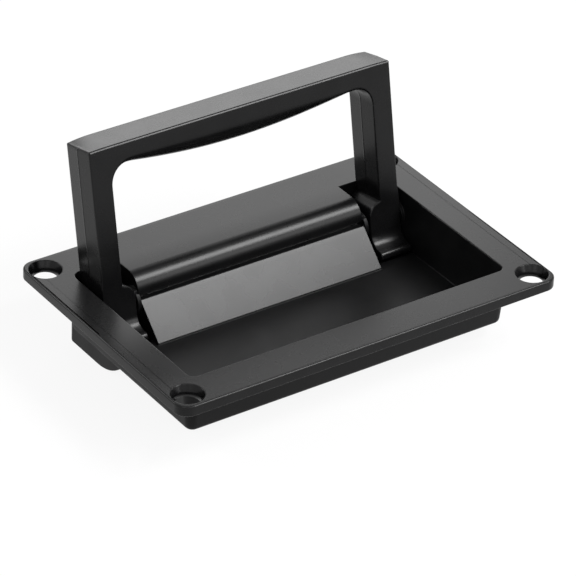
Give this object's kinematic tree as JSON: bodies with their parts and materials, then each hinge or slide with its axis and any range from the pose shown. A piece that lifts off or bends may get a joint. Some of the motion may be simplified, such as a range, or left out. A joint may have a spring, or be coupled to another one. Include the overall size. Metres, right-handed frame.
{
  "type": "recessed pull handle",
  "caption": "Recessed pull handle: a flanged dish let flush into a panel, with a folding bail on pivot pins that stands up to be pulled and folds down level.",
  "frame": {"origin": "centre of the flange's underside, level with the panel's face, in the middle of the four screw holes", "axes": "+X to the right along the flange's length, +Y to the back, where the bail is hinged, +Z out of the flange's face"},
  "size_m": [0.12, 0.08, 0.0598],
  "materials": {
    "black_coating": "satin",
    "pin_steel": "satin"
  },
  "bodies": {
    "tray": {"tray": "black_coating", "pin_left": "pin_steel", "pin_right": "pin_steel"},
    "bail": {"bail": "black_coating"}
  },
  "joints": [
    {"name": "bail_hinge", "type": "hinge", "parent": "tray", "child": "bail", "pos_m": [0, 0.01949, -0.0045], "axis": [1, 0, 0], "range_deg": [0, 101.1]}
  ]
}
